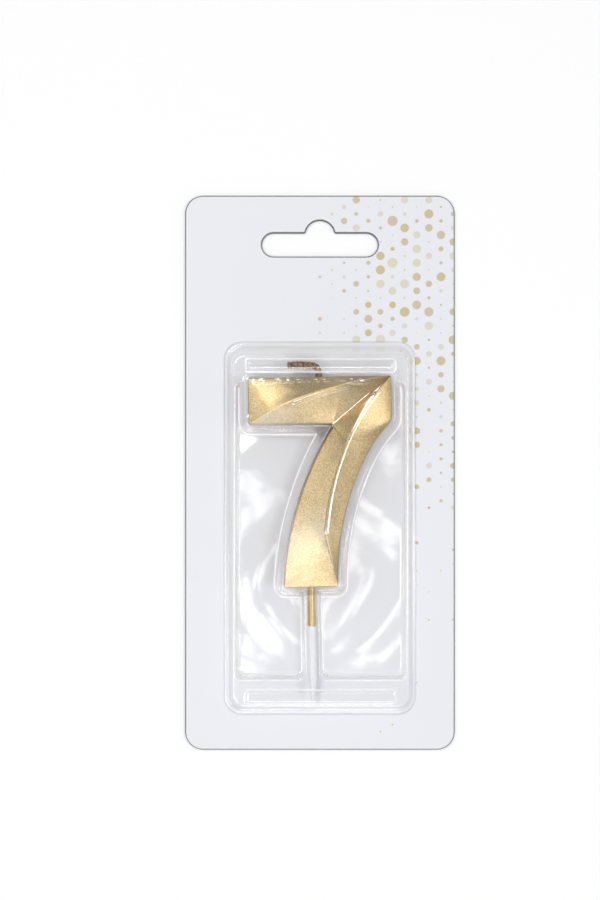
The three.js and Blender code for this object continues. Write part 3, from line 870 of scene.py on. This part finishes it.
def film_relief(x, y, outside):
    """How far the film lies below its top over the figure. It follows the facets, because the mould
    did: a point between a ridge and the nearest edge or valley drops by its share of the way down.
    Hypotenuses round the folds over. Round the outline the film stays down for a little way and then
    climbs to the brow of the pocket."""
    ridges = np.concatenate([on_card(bar_ridge), on_card(stem_ridge)])
    to_ridge, height = line_distance(x, y, ridges[:, :2], ridges[:, 2] - CANDLE_Z - EDGE)
    to_valley, _ = line_distance(x, y, on_card(valley_down))
    inward = np.maximum(-outside, 0)
    low = np.hypot(np.minimum(inward, to_valley), 0.25) - 0.15
    crest = np.hypot(to_ridge, 0.3) - 0.2
    rise = height * low / (low + crest)
    rise = relaxed(rise, np.clip((np.minimum(low, crest) - 0.2) / 1.2, 0, 1), RELAX_ROUNDS)
    climb = np.clip((outside - RELIEF_RIM) / RELIEF_CLIMB, 0, 1)
    return RELIEF * (RIDGE_RISE - rise) * (1 - climb**2 * (3 - 2 * climb))


# %% Swells and creases
CREASE_RISE = 0.15
CREASE_HALF = 0.32
EDGE_CREASE_RISE = 0.19
EDGE_CREASE_HALF = 0.6


def pillow(x, y):
    """The film never comes off the mould quite flat: it keeps arcs on both sides of the figure's foot,
    where it stretched most, a slope under the bar's end, and long swells. Their places and lengths, in
    millimetres, put the glare about where the photograph has it."""
    beside = np.hypot(x + 2.2, 1.0) + (y + 29.5) ** 2 / 28
    arcs = np.cos((beside - 15.5) * 2 * math.pi / 19) * np.exp(-(((y + 31) / 15) ** 2))
    across = np.sin(0.24 * x + 0.8 * np.sin(0.1 * y + 0.4))
    swell = across * np.sin(0.17 * y + 0.9 * np.sin(0.12 * x) + 1.0)
    up_slope = 0.83 * (y - 7) - 0.56 * (x + 17)
    slope = (up_slope + np.hypot(up_slope, 2.4)) * np.exp(-(((y - 6) / 9) ** 4))
    return 0.36 * arcs + 0.3 * swell - 0.12 * slope


def creases(x, y):
    """Fine raised creases where the film was drawn tight: from the neck up the valley and back down
    beside the stem's ridge, a short one under the bar's ridge, and broken ones inside the bar's edges.
    Each is a bell curve over the distance to a line, given in the figure's own millimetres."""
    up = valley_down[::-1]
    down = stem_ridge[:, :2] + [0.45, 0]
    under = bar_ridge[:, :2] - [0, 0.9]
    sharp = [
        np.concatenate([up[up[:, 0] < 17.3], down[(down[:, 1] < 52.6) & (down[:, 1] > 15)]]),
        under[(under[:, 0] > -4) & (under[:, 0] < 11)],
    ]
    edges = [
        [(LEFT + 0.7, BAR_FOOT + 3), (LEFT + 0.7, HEIGHT - 1)],
        [(LEFT + 2, HEIGHT - 1.5), (RIGHT - 5, HEIGHT - 1.3)],
    ]
    to_sharp, to_edge = (
        np.minimum(*[line_distance(x, y, on_card(line))[0] for line in lines]) for lines in (sharp, edges)
    )
    broken = 0.78 + 0.22 * np.sin(1.9 * x + 1.4 * np.sin(0.7 * x) + 0.9 * y)
    sharp_rise = CREASE_RISE * np.exp(-((to_sharp / CREASE_HALF) ** 2))
    return sharp_rise + EDGE_CREASE_RISE * broken * np.exp(-((to_edge / EDGE_CREASE_HALF) ** 2))


# %% The whole film
RIB_RISE = 0.7
RIB_LOW = np.array([-20.0, -1.7])
RIB_HIGH = np.array([20.0, 1.7])
RIB_CORNER = 0.8
RIB_INSET = END_LEAN + 2.7
DOME_TOP = film_high[2] - RIB_RISE
SEAL = seam + 0.25
BROW_DROP = 0.6
BROW_LEAN = 0.35
BROW_Y = DOME_HIGH[1] - 9.4
WELL_DEPTH = 5.8
WELL_LEAN = 0.5
WELL_CORNER = 1.8
POCKET_GAP = 0.35
POCKET_LEAN = 1.85
POCKET_SKIRT = 0.45
CHANNEL_HALF = 1.2 + 0.9
BLEND = 0.12
PLATEAU_SWELL = 0.06
FOLD_PLACE = 0.2
FOLD_HALF = 0.21
well_low = DOME_LOW + [3.4, 11.6]
well_high = DOME_HIGH - [3.4, 11.4]


def film_height(x, y):
    """The film's outer face over the card: the dome, less its brow, its wells and its relief over the
    figure, plus two ribs. The second result is 1 along the sharp folds round the wells and the ribs,
    and falls off beside them as a bell curve."""
    rise = DOME_TOP - SEAL
    up_wall = wall_share(x, y) * SIDE_LEAN
    height = SEAL + wall(up_wall, SIDE_LEAN, rise, foot_radius=0.2, brow_radius=0.25, start=0.35)
    brow = wall(y - BROW_Y, BROW_LEAN, BROW_DROP, foot_radius=0.2, brow_radius=0.2)
    height -= brow * (height > DOME_TOP - 3)
    loop = on_card(figure_loop)
    outside, _ = line_distance(x, y, np.concatenate([loop, loop[:1]]))
    outside[inside_loop(x, y, loop)] *= -1
    cos, sin = math.cos(CANDLE_TURN), math.sin(CANDLE_TURN)
    from_pick = (x - CANDLE_PLACE[0]) * cos + (y - CANDLE_PLACE[1]) * sin
    channel = np.where(y < CANDLE_PLACE[1] + 3, np.abs(from_pick) - CHANNEL_HALF, FAR)
    box = box_distance(x, y, well_low, well_high, WELL_CORNER)
    field = rounded_least(box, channel, WELL_CORNER)
    wells = wall(field, WELL_LEAN, WELL_DEPTH, foot_radius=0.3, brow_radius=0.4)
    pocket = wall(
        outside - POCKET_GAP,
        POCKET_LEAN,
        WELL_DEPTH,
        foot_radius=0.35,
        brow_radius=0.4,
        skirt=POCKET_SKIRT,
    )
    depth = np.maximum(soft_least([wells, pocket], BLEND), 0)
    height -= depth
    floor_share = np.clip(depth / WELL_DEPTH, 0, 1) ** 3
    swells = PLATEAU_SWELL + (1 - PLATEAU_SWELL) * floor_share
    height += pillow(x, y) * swells * np.clip(height - SEAL, 0, 1)
    height += creases(x, y) - film_relief(x, y, outside)
    upper_rib, lower_rib = (
        box_distance(x, y - middle_y, RIB_LOW, RIB_HIGH, RIB_CORNER)
        for middle_y in (DOME_HIGH[1] - RIB_INSET, DOME_LOW[1] + RIB_INSET)
    )
    upper_rise = wall(upper_rib, 1.0, RIB_RISE, foot_radius=1.6, brow_radius=1.1)
    lower_rise = wall(lower_rib, 0.35, RIB_RISE, foot_radius=0.25, brow_radius=0.25)
    height += upper_rise + lower_rise
    to_fold = rounded_least(box, channel - WELL_LEAN - FOLD_PLACE, WELL_CORNER)
    to_fold = np.minimum(to_fold, outside - POCKET_GAP - POCKET_LEAN - FOLD_PLACE)
    from_fold = np.minimum(np.abs(to_fold), np.minimum(np.abs(upper_rib), np.abs(lower_rib)))
    return np.minimum(height, film_high[2]), np.exp(-((from_fold / FOLD_HALF) ** 2))


# %% The film's grid
def crowded(breaks, steps):
    """Grid lines between breaks, each stretch with its own spacing."""
    lines = [np.arange(a, b - step / 2, step) for a, b, step in zip(breaks, breaks[1:], steps)]
    return np.concatenate(lines + [[breaks[-1]]])


grid_x = crowded(
    [film_low[0], -26.6, -23.0, -19.4, 21.0, 23.0, 26.6, film_high[0]],
    [2.0, 0.15, 0.3, 0.24, 0.3, 0.15, 2.0],
)
grid_y = crowded(
    [film_low[1], -66.9, -61.8, -57.5, -53.8, -32.0, 23.8, 26.0, 31.8, 36.3, film_high[1]],
    [2.0, 0.16, 0.25, 0.2, 0.4, 0.26, 0.14, 0.2, 0.2, 2.0],
)
film_x, film_y = np.meshgrid(grid_x, grid_y)
film_z, film_folds = film_height(film_x, film_y)
film_points = np.column_stack([film_x.ravel(), film_y.ravel(), film_z.ravel()])
print("film grid", film_z.shape, "heights", film_z.min(), film_z.max())


# %% [markdown]
# ### What the film is made of
# PET film is clear and glossy. A sheet this thin hardly bends light, so a transparent shader lets it
# straight through and a glossy one adds the mirror, which is quicker than glass and keeps the lamps'
# light on the card. Along the film's sharpest folds a diffuse white takes over: a painted highlight
# for the thin bright lines that those folds catch. Where the film is seen edge on it is greyed, as
# painted shade.

# %% Clear film
RIPPLE = 3.333
STRAIGHT_MIRROR = 0.14
GRAZING_MIRROR = 0.5
FOLD_HIGHLIGHT_SHARE = 0.8


def clear_film():
    """PET film. The mirror's share follows Schlick's rule for its two faces together, with less at
    grazing: a fifth power of 1 less the cosine. The film greys a little where it is seen edge on, as
    painted shade, and its sharp folds are painted white, as a painted highlight."""
    material, tree = new_material("clear PET film")
    ripple = add(tree, "TexNoise", {"Vector": place_mm(tree), "Scale": 1 / RIPPLE, "Detail": 1.0})[0]
    bump = add(tree, "Bump", {"Strength": 0.08, "Distance": 0.0004, "Height": ripple})[0]
    edge_on = add(tree, "LayerWeight", {"Blend": 0.5, "Normal": bump})["Facing"]
    # Painted shade: seen edge on, the film's see-through colour greys to dad8d6, standing in for the dark
    # lines that its steep walls show.
    painted_edge_grey = add(tree, "Math", {0: edge_on, 1: 3.0}, operation="POWER")[0]
    tints = {"Factor": painted_edge_grey, 6: linear("fefefe"), 7: linear("dad8d6")}
    tint = add(tree, "Mix", tints, data_type="RGBA")[2]
    through = add(tree, "BsdfTransparent", {"Color": tint})[0]
    gloss = add(tree, "BsdfGlossy", {"Color": (1, 1, 1, 1), "Roughness": 0.12, "Normal": bump})[0]
    grazing = add(tree, "Math", {0: edge_on, 1: 5.0}, operation="POWER")[0]
    shares = {0: grazing, 1: GRAZING_MIRROR, 2: STRAIGHT_MIRROR}
    mirror = add(tree, "Math", shares, operation="MULTIPLY_ADD")[0]
    clear = add(tree, "MixShader", {0: mirror, 1: through, 2: gloss})[0]
    # Painted highlight: along the sharp folds a diffuse white covers most of the clear film, standing in
    # for the thin highlights that those folds catch.
    fold = add(tree, "Attribute", attribute_name="fold")["Fac"]
    painted_fold_highlight = add(tree, "Math", {0: fold, 1: FOLD_HIGHLIGHT_SHARE}, operation="MULTIPLY")[0]
    bent = add(tree, "BsdfDiffuse", {"Color": linear("fdfdfd")})[0]
    seen = add(tree, "MixShader", {0: painted_fold_highlight, 1: clear, 2: bent})[0]
    for_lamps = add(tree, "BsdfTransparent", {"Color": (1, 1, 1, 1)})[0]
    shadow = add(tree, "LightPath")["Is Shadow Ray"]
    shader = add(tree, "MixShader", {0: shadow, 1: seen, 2: for_lamps})[0]
    add(tree, "OutputMaterial", {"Surface": shader})
    return material


# %% The film
film = piece("film", film_points, grid_faces(*film_x.shape), "front", clear_film())
film.data.attributes.new("fold", "FLOAT", "POINT").data.foreach_set("value", film_folds.ravel())
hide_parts("blister")

# %% [markdown]
# ## The wick
# A candle wick is cotton, braided from a few strands. Three strands that wind round one centre line
# read as a braid at this size, and each strand is a circle carried along its own helix.

# %% The wick's middle line
WICK_X = 3.2
WICK_LIFT = 3.3
WICK_REACH = 8.2
CORE_Z = EDGE / 2
# The wick's middle line: shares of its reach and its lift, and the height over its core.
WICK_LINE = [
    (0, -0.4, 0),
    (0, -0.05, 0),
    (0, 0.36, 0),
    (-0.03, 0.62, 0),
    (-0.13, 0.84, 0.1),
    (-0.29, 0.96, 0.2),
    (-0.55, 1.0, 0.4),
    (-0.78, 0.99, 0.5),
    (-1.0, 0.96, 0.5),
]


def smooth_line(points, count):
    """A smooth curve through points: Catmull-Rom, a cubic whose slope at each point is that of the line
    between its neighbours."""
    points = np.asarray(points, float)
    padded = np.vstack([2 * points[0] - points[1], points, 2 * points[-1] - points[-2]])
    at = np.linspace(0, len(points) - 1 - 1e-9, count)
    i, t = at.astype(int), (at % 1)[:, None]
    a, b, c, d = (padded[i + k] for k in range(4))
    square, cube = 2 * a - 5 * b + 4 * c - d, 3 * b - a - 3 * c + d
    return 0.5 * (2 * b + (c - a) * t + square * t**2 + cube * t**3)


wick_places = np.array(WICK_LINE) * (WICK_REACH, WICK_LIFT, 1) + (WICK_X, HEIGHT, CORE_Z)
wick_line = smooth_line(wick_places, 120)
wick_length = np.linalg.norm(np.diff(wick_line, axis=0), axis=1).sum()
print("wick", round(wick_length, 1), "mm long with its buried end")


# %% Tubes and a braid
STRANDS = 3
STRAND_RADIUS = 0.52
STRAND_OFFSET = 0.42
BRAID_PITCH = 3.2


def frames_along(line):
    """For each point of a line, its direction and two directions across it, the first nearest to +Z."""
    along = np.gradient(line, axis=0)
    along /= np.linalg.norm(along, axis=1)[:, None]
    up = np.array([0.0, 0.0, 1.0]) - along * along[:, 2:3]
    up /= np.linalg.norm(up, axis=1)[:, None]
    return along, up, np.cross(along, up)


def tube(line, radius, sides=10):
    """A circle carried along a line, closed at both ends by a point."""
    _, up, side = frames_along(line)
    angle = np.linspace(0, 2 * math.pi, sides, endpoint=False)
    radius = np.broadcast_to(radius, len(line))
    ring = up[:, None] * np.cos(angle)[None, :, None] + side[:, None] * np.sin(angle)[None, :, None]
    points = line[:, None] + ring * radius[:, None, None]
    ends = [np.repeat(line[end, None, None], sides, 1) for end in (0, -1)]
    closed = np.concatenate([ends[0], points, ends[1]])
    return closed.reshape(-1, 3), grid_faces(len(line) + 2, sides, around=True)


def braid(line, strands, radius, offset, pitch):
    """Tubes that wind round a line, evenly spaced in angle, one turn for each pitch."""
    _, up, side = frames_along(line)
    travelled = np.concatenate([[0], np.cumsum(np.linalg.norm(np.diff(line, axis=0), axis=1))])
    parts = []
    for strand in range(strands):
        angle = (2 * math.pi * (travelled / pitch + strand / strands))[:, None]
        parts.append(tube(line + offset * (up * np.cos(angle) + side * np.sin(angle)), radius))
    return parts


# %% Lacquered cotton
LACQUER_PATCH = 0.714
YARN = 0.111


def gold_cotton():
    """Cotton yarn that caught the gold lacquer: brown where bare, dull gold on its high fibres."""
    material, tree = new_material("lacquered cotton yarn")
    place = place_mm(tree)
    patch = add(tree, "TexNoise", {"Vector": place, "Scale": 1 / LACQUER_PATCH, "Detail": 3.0})[0]
    colour = add(tree, "ValToRGB", {0: patch})[0]
    elements = colour.node.color_ramp.elements
    for element, position, code in zip(elements, (0.36, 0.64), ("35210f", "b08a50")):
        element.position = position
        element.color = linear(code)
    yarn = add(tree, "TexNoise", {"Vector": place, "Scale": 1 / YARN, "Detail": 3.0})[0]
    bump = add(tree, "Bump", {"Strength": 0.6, "Distance": 0.0001, "Height": yarn})[0]
    finish = {"Base Color": colour, "Metallic": 0.35, "Roughness": 0.55, "Normal": bump}
    shader = add(tree, "BsdfPrincipled", finish)[0]
    add(tree, "OutputMaterial", {"Surface": shader})
    return material


# %% The wick
wick_points, wick_faces = joined(braid(wick_line, STRANDS, STRAND_RADIUS, STRAND_OFFSET, BRAID_PITCH))
wick = piece("wick_braid", on_card(wick_points), wick_faces, "candle", gold_cotton(), weld=0.001)
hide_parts("wick")

# %% [markdown]
# ## The pick
# The pick is moulded clear plastic, turned about its own axis, so it is a profile carried round a
# circle. The wax end was dipped in the same lacquer as the figure, and the gold fades into the clear.

# %% The pick's profile
PICK_LENGTH = 31.3
PICK_RADIUS = 1.2
PICK_NECK = 1.0
PICK_POINT = 6.0
PICK_BURIED = 0.3
pick_corners = [
    (0, -PICK_LENGTH),
    (0.5, -PICK_LENGTH + 0.3),
    (PICK_RADIUS, -PICK_LENGTH + PICK_POINT),
    (PICK_RADIUS, -PICK_LENGTH / 3),
    (PICK_NECK, PICK_BURIED),
    (0, PICK_BURIED),
]
pick_profile = filleted(pick_corners, [0.2, 3.0, 3.0, 0.1])
print("pick", PICK_LENGTH, "mm long and", 2 * PICK_RADIUS, "mm thick")


def turned(profile, sides=32):
    """A profile of (radius, y) carried round the y axis."""
    angle = np.linspace(0, 2 * math.pi, sides, endpoint=False)
    radius, height = profile[:, :1], profile[:, 1:]
    points = np.stack([radius * np.cos(angle), height + 0 * angle, radius * np.sin(angle)], axis=2)
    return points.reshape(-1, 3), grid_faces(len(profile), sides, around=True)


# %% Dipped plastic
GOLD_LENGTH = 10.6
DIP_RAGGEDNESS = 0.625
DIP_SWAY = 1.2
DIP_BLUR = 0.25


def dipped_plastic():
    """Clear moulded plastic, with the lacquer on its upper end by distance along the pick."""
    material, tree = new_material("clear moulded plastic, dipped in gold")
    place = place_mm(tree)
    height = add(tree, "SeparateXYZ", {0: place})["Y"]
    ragged = add(tree, "TexNoise", {"Vector": place, "Scale": 1 / DIP_RAGGEDNESS, "Detail": 2.0})[0]
    uneven = add(tree, "Math", {0: ragged, 1: DIP_SWAY, 2: height}, operation="MULTIPLY_ADD")[0]
    dip = CANDLE_PLACE[1] - GOLD_LENGTH + DIP_SWAY / 2
    fade = {0: uneven, 1: dip - DIP_BLUR, 2: dip + DIP_BLUR, 3: 0.0, 4: 1.0}
    gold_share = add(tree, "MapRange", fade)[0]
    golds = {"Factor": ragged, 6: linear("b5955c"), 7: linear("dcc290")}
    colour = add(tree, "Mix", golds, data_type="RGBA")[2]
    gold = add(tree, "BsdfPrincipled", {"Base Color": colour, "Metallic": 1.0, "Roughness": 0.34})[0]
    clear = add(tree, "BsdfPrincipled", {
        "Base Color": linear("fbfcff"),
        "Roughness": 0.22,
        "IOR": 1.5,
        "Transmission Weight": 0.15,
    })[0]
    shader = add(tree, "MixShader", {0: gold_share, 1: clear, 2: gold})[0]
    add(tree, "OutputMaterial", {"Surface": shader})
    return material


# %% The pick
pick_points, pick_faces = turned(pick_profile)
pick_points = on_card(pick_points + [0, 0, CORE_Z])
pick = piece("pick_rod", pick_points, pick_faces, "candle", dipped_plastic(), weld=0.001)
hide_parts("pick")

# %% [markdown]
# ## Floor, light and camera
# The pack lies on a plain white table and is seen from straight above. The card is flat, so its
# print scale is set by the 32 mm slot, and the blister's two ends look unequal only because the
# camera is close. That puts it about a third of a metre up.

# %% Floor
FLOOR_SIZE = 3.0
TABLE_GLOW = 0.2


def white_table():
    """A matte white table that stays white to the camera and in reflections, and keeps shadows."""
    material, tree = new_material("white studio table")
    matte = add(tree, "BsdfDiffuse", {"Color": (0.8, 0.8, 0.8, 1)})[0]
    path = add(tree, "LightPath")
    seen = add(tree, "Math", {0: path["Is Camera Ray"], 1: path["Is Glossy Ray"]}, operation="MAXIMUM")[0]
    seen = add(tree, "Math", {0: seen, 1: path["Is Transmission Ray"]}, operation="MAXIMUM")[0]
    lift = add(tree, "Math", {0: seen, 1: TABLE_GLOW}, operation="MULTIPLY")[0]
    glow = add(tree, "Emission", {"Color": (1, 1, 1, 1), "Strength": lift})[0]
    both = add(tree, "AddShader", {0: matte, 1: glow})[0]
    add(tree, "OutputMaterial", {"Surface": both})
    return material


floor_corners = np.array([(-1, -1, 0), (1, -1, 0), (1, 1, 0), (-1, 1, 0)]) * FLOOR_SIZE / 2
floor_mesh = bpy.data.meshes.new("table")
floor_mesh.from_pydata(floor_corners.tolist(), [], [(0, 1, 2, 3)])
floor_mesh.materials.append(white_table())
floor = bpy.data.objects.new("table", floor_mesh)
bpy.context.scene.collection.objects.link(floor)

# %% World
# The room is white to the camera and through the film. Mirrors see it dimmer, because a white room all
# round would fill the dark facets that the real gold shows.
ROOM_LIGHT = 0.29
world = bpy.data.worlds.new("studio")
bpy.context.scene.world = world
world.use_nodes = True
room = world.node_tree
room.nodes.clear()
path = add(room, "LightPath")
rays = {0: path["Is Camera Ray"], 1: path["Is Transmission Ray"]}
background = add(room, "Math", rays, operation="MAXIMUM")[0]
strength = add(room, "MapRange", {0: background, 1: 0.0, 2: 1.0, 3: ROOM_LIGHT, 4: 1.0})[0]
sky = add(room, "Background", {"Color": (1, 1, 1, 1), "Strength": strength})[0]
add(room, "OutputWorld", {"Surface": sky})
print("room light", ROOM_LIGHT)

# %% Lamps
SOFT_EDGE = 0.3
LAMP_DISTANCE = 1.0
# Each lamp: its compass turn and its tilt off the vertical in degrees, its size in metres, its light.
LAMPS = {
    "key softbox": (220, 24, (0.42, 0.42), 5.4),
    "far softbox": (124, 29, (0.44, 0.38), 9.5),
    "near softbox": (271, 30, (0.4, 0.32), 6.4),
    "right softbox": (355, 34, (0.42, 0.38), 8.2),
    "side fill": (164, 49, (0.45, 0.45), 2.2),
    "near fill": (270, 66, (0.5, 0.5), 1.2),
    "right fill": (356, 70, (0.5, 0.5), 1.7),
    "ceiling lamp, left": (240, 8, (0.15, 0.18), 2.2),
    "ceiling lamp, right": (304, 8, (0.15, 0.18), 2.2),
}


def softbox(name, turn, tilt, size, radiance):
    """A rectangular lamp that faces the pack. Its cloth is brightest in the middle and fades towards its
    rim."""
    turn, tilt = math.radians(turn), math.radians(tilt)
    away = Vector((math.sin(tilt) * math.cos(turn), math.sin(tilt) * math.sin(turn), math.cos(tilt)))
    lamp = bpy.data.lights.new(name, "AREA")
    lamp.shape = "RECTANGLE"
    lamp.size, lamp.size_y = size
    lamp.energy = radiance * math.pi * size[0] * size[1]
    lamp.use_nodes = True
    tree = lamp.node_tree
    tree.nodes.clear()
    axes = add(tree, "SeparateXYZ", {0: add(tree, "NewGeometry")["Parametric"]})
    fades = []
    for axis in ("X", "Y"):
        centred = add(tree, "Math", {0: axes[axis], 1: 0.5}, operation="SUBTRACT")[0]
        from_middle = add(tree, "Math", {0: centred}, operation="ABSOLUTE")[0]
        fade = {0: from_middle, 1: 0.5, 2: 0.5 - SOFT_EDGE, 3: 0.0, 4: 1.0}
        fades.append(add(tree, "MapRange", fade, interpolation_type="SMOOTHSTEP")[0])
    glow = add(tree, "Math", {0: fades[0], 1: fades[1]}, operation="MULTIPLY")[0]
    shining = add(tree, "Emission", {"Color": (1, 1, 1, 1), "Strength": glow})[0]
    add(tree, "OutputLight", {"Surface": shining})
    made = bpy.data.objects.new(name, lamp)
    made.location = away * LAMP_DISTANCE
    made.rotation_euler = away.to_track_quat("Z", "Y").to_euler()
    bpy.context.scene.collection.objects.link(made)


for lamp_name, setting in LAMPS.items():
    softbox(lamp_name, *setting)
print(len(LAMPS), "lamps")

# %% Camera
SLOT_PIXELS = 116.0
FRAME_HEIGHT_PIXELS = 900.0
CAMERA_UP = 335.0
FRAME_CENTRE = (-5.49, 6.28)
frame_height = FRAME_HEIGHT_PIXELS * SLOT_WIDTH / SLOT_PIXELS

camera_data = bpy.data.cameras.new("camera")
camera_data.sensor_fit = "VERTICAL"
camera_data.sensor_height = 24.0
camera_data.lens = camera_data.sensor_height * CAMERA_UP / frame_height
camera_data.clip_start = 0.01
camera = bpy.data.objects.new("camera", camera_data)
camera.location = (FRAME_CENTRE[0] * MM, FRAME_CENTRE[1] * MM, (front_high[2] + CAMERA_UP) * MM)
bpy.context.scene.collection.objects.link(camera)
bpy.context.scene.camera = camera
bpy.context.scene.view_settings.view_transform = "Standard"
print("the frame is", round(frame_height, 1), "mm tall at the card")
